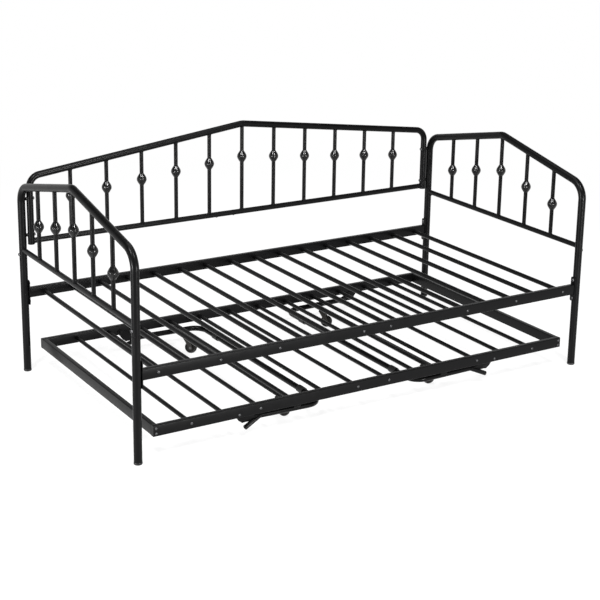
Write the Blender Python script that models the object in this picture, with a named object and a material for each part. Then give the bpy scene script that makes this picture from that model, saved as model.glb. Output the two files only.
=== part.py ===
"""Steel daybed with a roll-out trundle on casters and fold-down legs.

Metres, +Z up, origin on the floor under the middle of the bed.
+X runs along the bed, to the right of someone who faces it, and -Y is its open front.
"""
import math

import bmesh
import bpy
from mathutils import Matrix, Vector

# ---- Clearances and facets -------------------------------------------------
SEAT_GAP = 0.0003          # between pieces that rest on or fit into each other
TUBE_SIDES = 12
WHEEL_SIDES = 20
ROD_SIDES = 8
BEND_STEP = math.radians(13)

# ---- Overall layout --------------------------------------------------------
BED_LENGTH = 1.940         # between post centres, along X
BED_WIDTH = 1.010          # between post centres, along Y

# ---- Legs and feet ---------------------------------------------------------
POST_D = 0.0300
LEG_TOP = 0.4615           # joint between a leg and the side panel above it
PLUG_D = 0.0230            # reduced leg end that enters the panel tube
PLUG_LENGTH = 0.055
FOOT_D = 0.0310
FOOT_HEIGHT = 0.0090       # part of the foot that shows under the tube
FOOT_ROUND = 0.0025
FOOT_PLUG_LENGTH = 0.0200  # part of the foot inside the tube

# ---- Side panels -----------------------------------------------------------
SIDE_PEAK_Z = 0.855        # centre line of the arch at its middle
SIDE_SLOPE = 0.2125
SIDE_BEND_R = 0.072
PEAK_BEND_R = 0.060
SIDE_RAIL_Z = 0.4995
SIDE_RAIL_D = 0.0205
SIDE_SPINDLES = 5
SIDE_END_SPACE = 0.173     # post centre to the first spindle
SIDE_KNOB_DROP = 0.151     # knob centre below the arch

# ---- Back panel ------------------------------------------------------------
BACK_TUBE_D = 0.0265
BACK_UPRIGHT_INSET = 0.035  # post centre to upright centre
BACK_PEAK_Z = 0.9045
BACK_SLOPE = 0.128
BACK_BEND_R = 0.048
BACK_RAIL_Z = 0.5303
BACK_RAIL_D = 0.0220
BACK_SPINDLES = 11
BACK_END_SPACE = 0.169     # upright centre to the first spindle
BACK_KNOB_Z = 0.766        # at the middle spindle
BACK_KNOB_SLOPE = 0.0973
BACK_SEAM_X = -0.080       # the panel comes in two halves
BACK_PLUG_LENGTH = 0.060
BACK_PLUG_WALL = 0.0025
BACK_BOLT_Z = (0.556, 0.700)

# ---- Spindles --------------------------------------------------------------
SPINDLE_D = 0.0160
KNOB_D = 0.0400
KNOB_HEIGHT = 0.0480
KNOB_BELLY = (0.56, 0.52)  # a point of its flank: share of the flare, share of the half height
KNOB_EDGE = 0.10           # half height of the flat round its middle, as a share

# ---- Deck ------------------------------------------------------------------
DECK_RAIL_Z = 0.3234
DECK_RAIL_HEIGHT = 0.0400
DECK_RAIL_DEPTH = 0.0200
DECK_SLATS = 16
DECK_SLAT_D = 0.0180
DECK_END_SPACE = 0.0775    # post centre to the first slat
END_PLATE_THICKNESS = 0.0030
END_PLATE_WIDTH = 0.0260
END_PLATE_HEIGHT = 0.1000
END_PLATE_BOLT_SPACING = 0.0740

# ---- Trundle frame ---------------------------------------------------------
TRUNDLE_END_SPACE = 0.0613  # post centre to the frame's end
TRUNDLE_WIDTH = 1.012
TRUNDLE_BACK = 0.0050      # the frame's middle, behind the bed's
TRUNDLE_RAIL_Z = 0.1037
TRUNDLE_RAIL_HEIGHT = 0.0400
TRUNDLE_RAIL_DEPTH = 0.0200
TRUNDLE_SLATS = 12
TRUNDLE_SLAT_D = 0.0160
TRUNDLE_SLAT_MARGIN = 0.1464  # frame's end to the first slat
CORNER_BOLT_SPACING = 0.0190

# ---- Fold-down legs of the trundle ------------------------------------------
FOLD_TUBE_D = 0.0220
FOLD_PIVOT_INSET = 0.0517  # second slat from the end to the pivot
FOLD_PIVOT_DROP = 0.0080   # pivot below the rail's middle
FOLD_ARM_DROP = 0.0195     # top of the arm's outer end below the pivot
FOLD_FOOT_DROP = 0.0247    # top of the cross tube below the pivot
FOLD_ARM_START = 0.0160    # pivot to the arm's outer end
FOLD_REACH = 0.3620        # pivot to the cross tube
FOLD_BEND_R = 0.055
FOLD_EAR_THICKNESS = 0.0030
FOLD_EAR_R = 0.0130
FOLD_EAR_START = math.radians(-30)
FOLD_EAR_SWEEP = math.radians(180)
FOLD_EAR_STEPS = 10
FOLD_EAR_TAIL = ((-0.085, 0.0), (-0.070, -0.0090), (-0.022, -0.0125), (-0.008, -0.0020))
FOLD_SLEEVE_D = 0.0280
FOLD_SLEEVE_LENGTH = 0.040
FOLD_SLEEVE_INSET = 0.1400  # arm's centre to the sleeve's middle
STOP_ROOT = (-0.0980, -0.0310) # stop bar's inner end, from the pivot
STOP_TIP = (-0.0300, -0.0605)  # stop bar's outer end, from the pivot
STOP_ROOT_OUT = 0.0040     # the bar lies along the arm's outer side
STOP_TIP_OUT = 0.0160      # the tip stands this far out, under the rail
STOP_D = 0.0180
PIVOT_PIN_D = 0.0080
PIVOT_NUT_D = 0.0140
PIVOT_NUT_THICKNESS = 0.0050
PIVOT_CLEARANCE = 0.0003

# ---- Casters ---------------------------------------------------------------
CASTER_BAR_WIDTH = 0.0290
CASTER_BAR_HEIGHT = 0.0090
CASTER_BAR_INSET = 0.0040  # the bar lies under the rails and ends inside their outer faces
CASTER_FROM_PIVOT = 0.2420
CASTER_FROM_RAIL = 0.1120  # rail's inner face to the swivel axis
CASTER_ANGLES = {          # which way each wheel trails at rest, from +X
    "front_left": -68, "front_right": -71, "rear_left": -40, "rear_right": -37,
}
WHEEL_D = 0.0500
WHEEL_WIDTH = 0.0200
WHEEL_TRAIL = 0.0200
WHEEL_HUB_R = 0.0080
WHEEL_TYRE_DEPTH = 0.0070  # disc's edge below the tread
WHEEL_DISH = 0.0015
WHEEL_SHOULDER = (0.0050, 0.0040)  # tyre's chamfer: down from the tread, in from the side
AXLE_D = 0.0060
AXLE_CLEARANCE = 0.0003
FORK_SIDE_CLEARANCE = 0.0020
FORK_PLATE = 0.0025
FORK_TOP_THICKNESS = 0.0060
FORK_TOP_ENDS = (-0.0140, 0.0160)    # from the swivel axis
FORK_CHEEK_ENDS = (-0.0120, 0.0140)
FORK_LIP = 0.0005          # top plate stands out over the cheeks
FORK_BOSS_R = 0.0085
FORK_BOSS_START = math.radians(25)
FORK_BOSS_SWEEP = math.radians(-225)
FORK_BOSS_STEPS = 8
AXLE_HEAD = 0.0015         # axle stands out of the cheeks
STEM_D = 0.0100
STEM_LENGTH = 0.0065

# ---- Fasteners -------------------------------------------------------------
BOLT_HEAD_D = 0.0130
BOLT_HEAD_HEIGHT = 0.0045
SCREW_HEAD_D = 0.0095
SCREW_HEAD_HEIGHT = 0.0022
PANEL_BOLT_RISE = 0.0200   # above the joint of leg and panel
BOLT_ROOT = 0.0140         # a panel bolt's head starts this far from the post's centre line

# ---- Worked-out sizes ------------------------------------------------------
HALF_LENGTH = BED_LENGTH / 2
HALF_WIDTH = BED_WIDTH / 2
POST_R = POST_D / 2
FRAME_HALF_LENGTH = HALF_LENGTH - TRUNDLE_END_SPACE
FRAME_HALF_WIDTH = TRUNDLE_WIDTH / 2
FRAME_INNER_Y = FRAME_HALF_WIDTH - TRUNDLE_RAIL_DEPTH
TRUNDLE_SLAT_REACH = FRAME_HALF_LENGTH - TRUNDLE_SLAT_MARGIN
TRUNDLE_SLAT_PITCH = 2 * TRUNDLE_SLAT_REACH / (TRUNDLE_SLATS - 1)
PIVOT_X = TRUNDLE_SLAT_REACH - TRUNDLE_SLAT_PITCH - FOLD_PIVOT_INSET
PIVOT_Z = TRUNDLE_RAIL_Z - FOLD_PIVOT_DROP
CASTER_X = PIVOT_X - CASTER_FROM_PIVOT
CASTER_Y = FRAME_INNER_Y - CASTER_FROM_RAIL
CASTER_BAR_TOP = TRUNDLE_RAIL_Z - TRUNDLE_RAIL_HEIGHT / 2 - SEAT_GAP
CASTER_BAR_BOTTOM = CASTER_BAR_TOP - CASTER_BAR_HEIGHT
X_AXIS, Y_AXIS, Z_AXIS = Vector((1, 0, 0)), Vector((0, 1, 0)), Vector((0, 0, 1))


# ---- Scene and materials ---------------------------------------------------
def clear_scene():
    for old in list(bpy.data.objects):
        bpy.data.objects.remove(old, do_unlink=True)


def make_material(name, colour, roughness, metallic):
    material = bpy.data.materials.new(name)
    material.use_nodes = True
    shader = material.node_tree.nodes["Principled BSDF"]
    shader.inputs["Base Color"].default_value = (*colour, 1)
    shader.inputs["Roughness"].default_value = roughness
    shader.inputs["Metallic"].default_value = metallic
    return material


# ---- Shapes, each a closed bmesh -------------------------------------------
def box(low, high):
    shape = bmesh.new()
    bmesh.ops.create_cube(shape, size=1)
    low, high = Vector(low), Vector(high)
    size = high - low
    bmesh.ops.scale(shape, vec=size, verts=shape.verts)
    bmesh.ops.translate(shape, vec=(low + high) / 2, verts=shape.verts)
    return shape


def rod(start, end, diameter, sides=ROD_SIDES):
    start, end = Vector(start), Vector(end)
    along = end - start
    turn = Z_AXIS.rotation_difference(along).to_matrix().to_4x4()
    shape = bmesh.new()
    bmesh.ops.create_cone(
        shape, cap_ends=True, segments=sides, radius1=diameter / 2, radius2=diameter / 2,
        depth=along.length, matrix=Matrix.Translation((start + end) / 2) @ turn)
    return shape


def turned(profile, sides):
    """Turn (radius, height) points about Z; the first and last points lie on the axis."""
    shape = bmesh.new()
    rings = []
    for radius, height in profile:
        if radius == 0:
            rings.append([shape.verts.new((0, 0, height))])
            continue
        angles = [2 * math.pi * i / sides for i in range(sides)]
        rings.append([shape.verts.new((radius * math.cos(a), radius * math.sin(a), height))
                      for a in angles])
    for lower, upper in zip(rings, rings[1:]):
        for i in range(sides):
            j = (i + 1) % sides
            corners = [lower[i % len(lower)], lower[j % len(lower)],
                       upper[j % len(upper)], upper[i % len(upper)]]
            shape.faces.new(list(dict.fromkeys(corners)))
    bmesh.ops.recalc_face_normals(shape, faces=shape.faces)
    return shape


def turned_ring(profile, sides):
    """Turn a closed (radius, height) loop about Z."""
    shape = bmesh.new()
    angles = [2 * math.pi * i / sides for i in range(sides)]
    rings = [[shape.verts.new((r * math.cos(a), r * math.sin(a), z)) for a in angles]
             for r, z in profile]
    for lower, upper in zip(rings, rings[1:] + rings[:1]):
        for i in range(sides):
            j = (i + 1) % sides
            shape.faces.new((lower[i], lower[j], upper[j], upper[i]))
    bmesh.ops.recalc_face_normals(shape, faces=shape.faces)
    return shape


def plate(outline, normal, low, high):
    """Extrude a flat outline of 3-D points from low to high along its normal."""
    shape = bmesh.new()
    face = shape.faces.new([shape.verts.new(Vector(p) + normal * low) for p in outline])
    grown = bmesh.ops.extrude_face_region(shape, geom=[face])
    moved = [v for v in grown["geom"] if isinstance(v, bmesh.types.BMVert)]
    bmesh.ops.translate(shape, vec=normal * (high - low), verts=moved)
    bmesh.ops.recalc_face_normals(shape, faces=shape.faces)
    return shape


def rounded_path(corners, radii):
    """Replace each inner corner of a path by an arc of its radius."""
    path = [Vector(corners[0])]
    for before, corner, after, radius in zip(corners, corners[1:], corners[2:], radii):
        before, corner, after = Vector(before), Vector(corner), Vector(after)
        back = (before - corner).normalized()
        ahead = (after - corner).normalized()
        turn = math.pi - back.angle(ahead)
        reach = radius * math.tan(turn / 2)
        centre = corner + (back + ahead).normalized() * radius / math.cos(turn / 2)
        first = corner + back * reach - centre
        axis = first.cross(corner + ahead * reach - centre).normalized()
        steps = max(2, math.ceil(turn / BEND_STEP))
        path += [centre + Matrix.Rotation(turn * i / steps, 3, axis) @ first
                 for i in range(steps + 1)]
    return path + [Vector(corners[-1])]


def bent_tube(path, normal, diameter, sides=TUBE_SIDES):
    """Sweep a circle along a flat path whose plane has this normal."""
    shape = bmesh.new()
    rings = []
    for i, point in enumerate(path):
        arrive = (point - path[max(i - 1, 0)]).normalized() if i else None
        leave = (path[i + 1] - point).normalized() if i + 1 < len(path) else arrive
        arrive = arrive or leave
        side = normal.cross(arrive + leave).normalized()
        mitre = 1 / side.dot(normal.cross(leave))
        rings.append([shape.verts.new(
            point + (side * math.cos(a) * mitre + normal * math.sin(a)) * diameter / 2)
            for a in (2 * math.pi * k / sides for k in range(sides))])
    for lower, upper in zip(rings, rings[1:]):
        for k in range(sides):
            n = (k + 1) % sides
            shape.faces.new((lower[k], lower[n], upper[n], upper[k]))
    shape.faces.new(rings[0])
    shape.faces.new(rings[-1])
    bmesh.ops.recalc_face_normals(shape, faces=shape.faces)
    return shape


def moved(shape, offset):
    bmesh.ops.translate(shape, vec=offset, verts=shape.verts)
    return shape


# ---- Objects ---------------------------------------------------------------
def add_object(name, mesh, material, location=(0, 0, 0), turn=0.0, parent=None):
    thing = bpy.data.objects.new(name, mesh)
    bpy.context.scene.collection.objects.link(thing)
    if not mesh.materials:
        mesh.materials.append(material)
    thing.parent = parent
    thing.location = location
    thing.rotation_euler.z = turn
    return thing


def mesh_of(name, shape):
    mesh = bpy.data.meshes.new(name)
    shape.to_mesh(mesh)
    shape.free()
    mesh.shade_smooth()
    mesh.set_sharp_from_angle(angle=math.radians(35))
    return mesh


def united(name, solids, cuts=()):
    """Weld solids into one mesh and take the cuts out of it."""
    scene_objects = bpy.context.scene.collection.objects
    pieces = []
    for shape in [*solids, *cuts]:
        piece = bpy.data.objects.new(name + "_piece", mesh_of(name + "_piece", shape))
        scene_objects.link(piece)
        pieces.append(piece)
    whole = pieces[0]
    for i, tool in enumerate(pieces[1:], start=1):
        weld = whole.modifiers.new("boolean", "BOOLEAN")
        weld.object = tool
        weld.operation = "UNION" if i < len(solids) else "DIFFERENCE"
        weld.solver = "EXACT"
    bpy.context.view_layer.update()
    graph = bpy.context.evaluated_depsgraph_get()
    mesh = bpy.data.meshes.new_from_object(whole.evaluated_get(graph))
    mesh.name = name
    for piece in pieces:
        bpy.data.objects.remove(piece, do_unlink=True)
    mesh.shade_smooth()
    mesh.set_sharp_from_angle(angle=math.radians(35))
    return mesh


def spindle(bottom, top, knob):
    """A rod along Z with a turned, double-coned knob."""
    r, big, half = SPINDLE_D / 2, KNOB_D / 2, KNOB_HEIGHT / 2
    flare, rise = KNOB_BELLY
    belly = r + (big - r) * flare
    profile = [
        (0, bottom), (r, bottom), (r, knob - half), (belly, knob - half * rise),
        (big, knob - half * KNOB_EDGE), (big, knob + half * KNOB_EDGE),
        (belly, knob + half * rise), (r, knob + half), (r, top), (0, top),
    ]
    return turned(profile, ROD_SIDES)


def spread(count, half_span, margin):
    """Places of a row that starts and ends one margin inside a span."""
    reach = half_span - margin
    return [-reach + 2 * reach * i / (count - 1) for i in range(count)]


# ---- Daybed ----------------------------------------------------------------
def build_legs(paint, plastic):
    low = FOOT_HEIGHT + SEAT_GAP
    bore = PLUG_D + 2 * SEAT_GAP
    leg = united("leg", [
        rod((0, 0, low), (0, 0, LEG_TOP), POST_D, TUBE_SIDES),
        rod((0, 0, LEG_TOP - PLUG_LENGTH), (0, 0, LEG_TOP + PLUG_LENGTH), PLUG_D, TUBE_SIDES)],
        [rod((0, 0, 0), (0, 0, low + FOOT_PLUG_LENGTH), bore, TUBE_SIDES)])
    plug_r, foot_r = PLUG_D / 2, FOOT_D / 2
    plug_top = FOOT_HEIGHT + FOOT_PLUG_LENGTH
    foot = mesh_of("foot_cap", turned([
        (0, 0), (foot_r - FOOT_ROUND, 0), (foot_r, FOOT_ROUND), (foot_r, FOOT_HEIGHT),
        (plug_r, FOOT_HEIGHT), (plug_r, plug_top), (0, plug_top)], TUBE_SIDES))
    for side, x in (("left", -HALF_LENGTH), ("right", HALF_LENGTH)):
        for face, y in (("front", -HALF_WIDTH), ("rear", HALF_WIDTH)):
            add_object(f"leg_{face}_{side}", leg, paint, (x, y, 0))
            add_object(f"foot_cap_{face}_{side}", foot, plastic, (x, y, 0))


def build_side_panels(paint):
    bottom = LEG_TOP + SEAT_GAP
    corner_z = SIDE_PEAK_Z - SIDE_SLOPE * HALF_WIDTH
    arch = bent_tube(rounded_path(
        [(0, -HALF_WIDTH, bottom), (0, -HALF_WIDTH, corner_z), (0, 0, SIDE_PEAK_Z),
         (0, HALF_WIDTH, corner_z), (0, HALF_WIDTH, bottom)],
        [SIDE_BEND_R, PEAK_BEND_R, SIDE_BEND_R]), X_AXIS, POST_D)
    solids = [arch, rod((0, -HALF_WIDTH, SIDE_RAIL_Z), (0, HALF_WIDTH, SIDE_RAIL_Z), SIDE_RAIL_D)]
    for y in spread(SIDE_SPINDLES, HALF_WIDTH, SIDE_END_SPACE):
        arch_z = SIDE_PEAK_Z - SIDE_SLOPE * max(abs(y), PEAK_BEND_R * SIDE_SLOPE / 2)
        solids.append(moved(spindle(SIDE_RAIL_Z, arch_z, arch_z - SIDE_KNOB_DROP), (0, y, 0)))
    socket = PLUG_D + 2 * SEAT_GAP
    cuts = []
    for y in (-HALF_WIDTH, HALF_WIDTH):
        bolt_z = LEG_TOP + PANEL_BOLT_RISE
        solids.append(rod((BOLT_ROOT, y, bolt_z), (POST_R + BOLT_HEAD_HEIGHT, y, bolt_z),
                          BOLT_HEAD_D))
        cuts.append(rod((0, y, bottom - PLUG_LENGTH), (0, y, LEG_TOP + PLUG_LENGTH + SEAT_GAP),
                        socket, TUBE_SIDES))
    panel = united("side_panel", solids, cuts)
    add_object("side_panel_right", panel, paint, (HALF_LENGTH, 0, 0))
    add_object("side_panel_left", panel, paint, (-HALF_LENGTH, 0, 0), turn=math.pi)


def build_back_panel(paint):
    upright_x = HALF_LENGTH - BACK_UPRIGHT_INSET
    corner_z = BACK_PEAK_Z - BACK_SLOPE * upright_x
    foot_z = BACK_RAIL_Z - BACK_TUBE_D / 2
    y = HALF_WIDTH
    seam = Vector((BACK_SEAM_X, y, BACK_PEAK_Z + BACK_SLOPE * BACK_SEAM_X))
    slope = Vector((1, 0, BACK_SLOPE)).normalized()
    peak = (0, y, BACK_PEAK_Z)
    posts = {"left": -1, "right": 1}
    paths = {
        "left": [(-upright_x, y, foot_z), (-upright_x, y, corner_z), seam],
        "right": [seam + slope * SEAT_GAP, peak, (upright_x, y, corner_z), (upright_x, y, foot_z)],
    }
    radii = {"left": [BACK_BEND_R], "right": [PEAK_BEND_R, BACK_BEND_R]}
    rows = spread(BACK_SPINDLES, upright_x, BACK_END_SPACE)
    joints = [(seam, slope, BACK_TUBE_D),
              (Vector((BACK_SEAM_X, y, BACK_RAIL_Z)), X_AXIS, BACK_RAIL_D)]
    for side, sign in posts.items():
        end_x = sign * upright_x
        seam_x = BACK_SEAM_X + (SEAT_GAP if side == "right" else 0)
        solids = [bent_tube(rounded_path(paths[side], radii[side]), Y_AXIS, BACK_TUBE_D),
                  rod((seam_x, y, BACK_RAIL_Z), (end_x, y, BACK_RAIL_Z), BACK_RAIL_D)]
        for x in rows:
            if (x - BACK_SEAM_X) * sign > 0:
                top = BACK_PEAK_Z - BACK_SLOPE * max(abs(x), PEAK_BEND_R * BACK_SLOPE / 2)
                knob = BACK_KNOB_Z - BACK_KNOB_SLOPE * abs(x)
                solids.append(moved(spindle(BACK_RAIL_Z, top, knob), (x, y, 0)))
        for z in BACK_BOLT_Z:
            inner_x = end_x - sign * (BACK_TUBE_D / 2 + BOLT_HEAD_HEIGHT)
            outer_x = sign * (HALF_LENGTH - POST_R - SEAT_GAP)
            solids.append(rod((inner_x, y, z), (outer_x, y, z), BOLT_HEAD_D))
        cuts = []
        for point, along, diameter in joints:
            plug = diameter - 2 * BACK_PLUG_WALL
            if side == "left":
                solids.append(rod(point - along * BACK_PLUG_LENGTH,
                                  point + along * BACK_PLUG_LENGTH, plug))
            else:
                cuts.append(rod(point - along * BACK_PLUG_LENGTH,
                                point + along * (BACK_PLUG_LENGTH + SEAT_GAP),
                                plug + 2 * SEAT_GAP))
        add_object(f"back_panel_{side}", united(f"back_panel_{side}", solids, cuts), paint)


def build_deck(paint):
    plate_x = HALF_LENGTH - POST_R - SEAT_GAP
    rail_x = plate_x - END_PLATE_THICKNESS / 2
    half_h, half_d = DECK_RAIL_HEIGHT / 2, DECK_RAIL_DEPTH / 2
    slat_x = spread(DECK_SLATS, HALF_LENGTH, DECK_END_SPACE)
    solids = [box((-rail_x, -half_d, -half_h), (rail_x, half_d, half_h))]
    for sign in (-1, 1):
        inner, outer = sorted((sign * (plate_x - END_PLATE_THICKNESS), sign * plate_x))
        solids.append(box((inner, -END_PLATE_WIDTH / 2, -END_PLATE_HEIGHT / 2),
                          (outer, END_PLATE_WIDTH / 2, END_PLATE_HEIGHT / 2)))
        for z in (-END_PLATE_BOLT_SPACING / 2, END_PLATE_BOLT_SPACING / 2):
            tip = sign * (plate_x - END_PLATE_THICKNESS - BOLT_HEAD_HEIGHT)
            solids.append(rod((tip, 0, z), (sign * rail_x, 0, z), BOLT_HEAD_D))
    rail = united("deck_rail", solids)
    add_object("deck_rail_front", rail, paint, (0, -HALF_WIDTH, DECK_RAIL_Z))
    add_object("deck_rail_rear", rail, paint, (0, HALF_WIDTH, DECK_RAIL_Z), turn=math.pi)
    reach = HALF_WIDTH - half_d - SEAT_GAP
    slat = mesh_of("deck_slat", rod((0, -reach, 0), (0, reach, 0), DECK_SLAT_D, TUBE_SIDES))
    for i, x in enumerate(slat_x, start=1):
        add_object(f"deck_slat_{i:02d}", slat, paint, (x, 0, DECK_RAIL_Z))


# ---- Trundle ---------------------------------------------------------------
def build_trundle_frame(paint, parent):
    half_h = TRUNDLE_RAIL_HEIGHT / 2
    depth = TRUNDLE_RAIL_DEPTH
    ear_y = FRAME_INNER_Y - SEAT_GAP - FOLD_EAR_THICKNESS
    nut_y = ear_y - SEAT_GAP
    solids = [box((-FRAME_HALF_LENGTH, FRAME_INNER_Y, -half_h),
                  (FRAME_HALF_LENGTH, FRAME_HALF_WIDTH, half_h))]
    for x in (-PIVOT_X, PIVOT_X):
        z = PIVOT_Z - TRUNDLE_RAIL_Z
        solids += [
            rod((x, nut_y - PIVOT_NUT_THICKNESS / 2, z), (x, FRAME_INNER_Y + depth / 2, z),
                PIVOT_PIN_D, TUBE_SIDES),
            rod((x, nut_y - PIVOT_NUT_THICKNESS, z), (x, nut_y, z), PIVOT_NUT_D, TUBE_SIDES),
            rod((x, FRAME_HALF_WIDTH - depth / 2, z),
                (x, FRAME_HALF_WIDTH + SCREW_HEAD_HEIGHT, z), SCREW_HEAD_D)]
    for x in (-FRAME_HALF_LENGTH + depth / 2, FRAME_HALF_LENGTH - depth / 2):
        for z in (-CORNER_BOLT_SPACING / 2, CORNER_BOLT_SPACING / 2):
            solids.append(rod((x, FRAME_HALF_WIDTH - depth / 2, z),
                              (x, FRAME_HALF_WIDTH + SCREW_HEAD_HEIGHT, z), SCREW_HEAD_D))
    rail = united("trundle_rail", solids)
    add_object("trundle_rail_rear", rail, paint, (0, 0, TRUNDLE_RAIL_Z), parent=parent)
    add_object("trundle_rail_front", rail, paint, (0, 0, TRUNDLE_RAIL_Z), math.pi, parent)
    reach = FRAME_INNER_Y - SEAT_GAP
    end_rail = mesh_of("trundle_end_rail", box((-depth / 2, -reach, -half_h),
                                               (depth / 2, reach, half_h)))
    for side, sign in (("left", -1), ("right", 1)):
        add_object(f"trundle_end_rail_{side}", end_rail, paint,
                   (sign * (FRAME_HALF_LENGTH - depth / 2), 0, TRUNDLE_RAIL_Z), parent=parent)
    slat = mesh_of("trundle_slat", rod((0, -reach, 0), (0, reach, 0), TRUNDLE_SLAT_D, TUBE_SIDES))
    for i, x in enumerate(spread(TRUNDLE_SLATS, FRAME_HALF_LENGTH, TRUNDLE_SLAT_MARGIN), start=1):
        add_object(f"trundle_slat_{i:02d}", slat, paint, (x, 0, TRUNDLE_RAIL_Z), parent=parent)


def build_caster_bars(paint, parent):
    reach = FRAME_HALF_WIDTH - CASTER_BAR_INSET
    half = CASTER_BAR_WIDTH / 2
    cuts = [rod((0, y, CASTER_BAR_BOTTOM - STEM_LENGTH), (0, y, CASTER_BAR_BOTTOM + STEM_LENGTH
                                                          + SEAT_GAP),
                STEM_D + 2 * SEAT_GAP, TUBE_SIDES) for y in (-CASTER_Y, CASTER_Y)]
    bar = united("caster_bar", [box((-half, -reach, CASTER_BAR_BOTTOM),
                                    (half, reach, CASTER_BAR_TOP))], cuts)
    add_object("caster_bar_left", bar, paint, (-CASTER_X, 0, 0), parent=parent)
    add_object("caster_bar_right", bar, paint, (CASTER_X, 0, 0), parent=parent)


def fork_mesh():
    """Swivel fork about its stem, with the axle held one trail along +X."""
    top = CASTER_BAR_BOTTOM - SEAT_GAP
    under = top - FORK_TOP_THICKNESS
    middle = top - FORK_TOP_THICKNESS / 2
    inner = WHEEL_WIDTH / 2 + FORK_SIDE_CLEARANCE
    outer = inner + FORK_PLATE
    lip, axle_end, axle_z = outer + FORK_LIP, outer + AXLE_HEAD, WHEEL_D / 2
    outline = [(x, 0, middle) for x in FORK_CHEEK_ENDS]
    for i in range(FORK_BOSS_STEPS + 1):
        a = FORK_BOSS_START + FORK_BOSS_SWEEP * i / FORK_BOSS_STEPS
        outline.append((WHEEL_TRAIL + FORK_BOSS_R * math.cos(a), 0,
                        axle_z + FORK_BOSS_R * math.sin(a)))
    solids = [box((FORK_TOP_ENDS[0], -lip, under), (FORK_TOP_ENDS[1], lip, top)),
              rod((0, 0, middle), (0, 0, top + STEM_LENGTH), STEM_D, TUBE_SIDES)]
    for low, high in ((-outer, -inner), (inner, outer)):
        solids.append(plate(outline, Y_AXIS, low, high))
    solids.append(rod((WHEEL_TRAIL, -axle_end, axle_z), (WHEEL_TRAIL, axle_end, axle_z),
                      AXLE_D, TUBE_SIDES))
    return united("caster_fork", solids)


def wheel_mesh():
    """Wheel turned about its own axis, with a bore that runs on the axle."""
    bore = AXLE_D / 2 + AXLE_CLEARANCE
    rim, half = WHEEL_D / 2, WHEEL_WIDTH / 2
    down, aside = WHEEL_SHOULDER
    profile = [(bore, -half), (WHEEL_HUB_R, -half), (rim - WHEEL_TYRE_DEPTH, WHEEL_DISH - half),
               (rim - down, -half), (rim, aside - half)]
    profile += [(r, -z) for r, z in reversed(profile)]
    shape = turned_ring(profile, WHEEL_SIDES)
    bmesh.ops.rotate(shape, matrix=Matrix.Rotation(math.pi / 2, 3, "X"), verts=shape.verts)
    return mesh_of("caster_wheel", shape)


def build_casters(metal, rubber, parent):
    fork, wheel = fork_mesh(), wheel_mesh()
    for corner, degrees in CASTER_ANGLES.items():
        face, side = corner.split("_")
        x = CASTER_X if side == "right" else -CASTER_X
        y = CASTER_Y if face == "rear" else -CASTER_Y
        turn = math.radians(degrees)
        holder = add_object(f"caster_fork_{corner}", fork, metal, (x, y, 0), turn, parent)
        add_object(f"caster_wheel_{corner}", wheel, rubber, (WHEEL_TRAIL, 0, WHEEL_D / 2),
                   parent=holder)


def build_fold_legs(paint, parent):
    """U-shaped leg about its pivot, folded towards -X, with an ear at each rail."""
    arm_y = FRAME_INNER_Y - SEAT_GAP - FOLD_TUBE_D / 2
    arm_drop = FOLD_ARM_DROP + FOLD_TUBE_D / 2
    start = Vector((-FOLD_ARM_START, 0, -arm_drop))
    foot = Vector((-FOLD_REACH, 0, -FOLD_FOOT_DROP - FOLD_TUBE_D / 2))
    normal = Y_AXIS.cross(foot - start).normalized()
    out = Vector((0, arm_y, 0))
    solids = [bent_tube(rounded_path([start - out, foot - out, foot + out, start + out],
                                     [FOLD_BEND_R, FOLD_BEND_R]), normal, FOLD_TUBE_D)]
    cuts = []
    for sign in (-1, 1):
        side = Vector((0, sign * arm_y, 0))
        ear_out = FRAME_INNER_Y - SEAT_GAP
        low, high = sorted((sign * (ear_out - FOLD_EAR_THICKNESS), sign * ear_out))
        angles = [FOLD_EAR_START + FOLD_EAR_SWEEP * i / FOLD_EAR_STEPS
                  for i in range(FOLD_EAR_STEPS + 1)]
        edge = [(FOLD_EAR_R * math.cos(a), 0, FOLD_EAR_R * math.sin(a)) for a in angles]
        edge += [(x, 0, z - arm_drop) for x, z in FOLD_EAR_TAIL]
        solids.append(plate(edge, Y_AXIS, low, high))
        root = Vector((STOP_ROOT[0], sign * STOP_ROOT_OUT, STOP_ROOT[1])) + side
        tip = Vector((STOP_TIP[0], sign * STOP_TIP_OUT, STOP_TIP[1])) + side
        solids.append(rod(root, tip, STOP_D, TUBE_SIDES))
        middle = foot + side - Vector((0, sign * FOLD_SLEEVE_INSET, 0))
        half = Vector((0, FOLD_SLEEVE_LENGTH / 2, 0))
        solids.append(rod(middle - half, middle + half, FOLD_SLEEVE_D, TUBE_SIDES))
        cuts.append(rod((0, low - FOLD_EAR_THICKNESS, 0), (0, high + FOLD_EAR_THICKNESS, 0),
                        PIVOT_PIN_D + 2 * PIVOT_CLEARANCE, TUBE_SIDES))
    leg = united("fold_leg", solids, cuts)
    add_object("fold_leg_right", leg, paint, (PIVOT_X, 0, PIVOT_Z), parent=parent)
    add_object("fold_leg_left", leg, paint, (-PIVOT_X, 0, PIVOT_Z), math.pi, parent)


def main():
    clear_scene()
    paint = make_material("black_powder_coat", (0.018, 0.018, 0.019), 0.42, 0.0)
    plastic = make_material("black_plastic", (0.014, 0.014, 0.014), 0.55, 0.0)
    rubber = make_material("caster_rubber", (0.020, 0.019, 0.018), 0.60, 0.0)
    metal = make_material("caster_steel", (0.030, 0.029, 0.027), 0.35, 0.6)
    trundle = bpy.data.objects.new("trundle", None)
    trundle.location.y = TRUNDLE_BACK
    bpy.context.scene.collection.objects.link(trundle)
    build_legs(paint, plastic)
    build_side_panels(paint)
    build_back_panel(paint)
    build_deck(paint)
    build_trundle_frame(paint, trundle)
    build_caster_bars(paint, trundle)
    build_casters(metal, rubber, trundle)
    build_fold_legs(paint, trundle)


main()
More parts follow.
